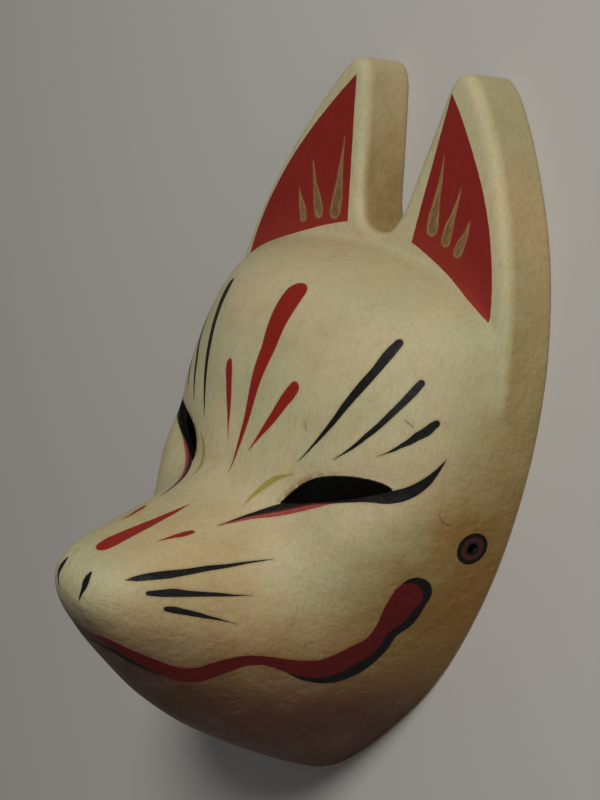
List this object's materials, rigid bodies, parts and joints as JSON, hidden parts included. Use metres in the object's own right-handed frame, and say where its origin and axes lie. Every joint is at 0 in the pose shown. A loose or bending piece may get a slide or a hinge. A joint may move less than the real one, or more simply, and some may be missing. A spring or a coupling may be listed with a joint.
{
  "type": "kitsune mask",
  "caption": "Hollow papier-mache fox mask with a pointed snout, upright ears, slit eyes and cord holes, painted cream with red, black and gold strokes; it lies face up on its rim.",
  "frame": {"origin": "middle of the rectangle round the rim, on the rim's plane, which is the surface the mask lies on", "axes": "+Z out of the face, +Y from the chin to the ear tips, +X to the wearer's left"},
  "size_m": [0.1672, 0.27, 0.1215],
  "materials": {
    "painted_paper": "cream shell-white wash over layered paper, toned warm with age, eggshell sheen, with red, black and gold brush strokes outside and bare brown paper inside"
  },
  "bodies": {
    "root": {"mask_shell": "painted_paper"}
  },
  "joints": []
}
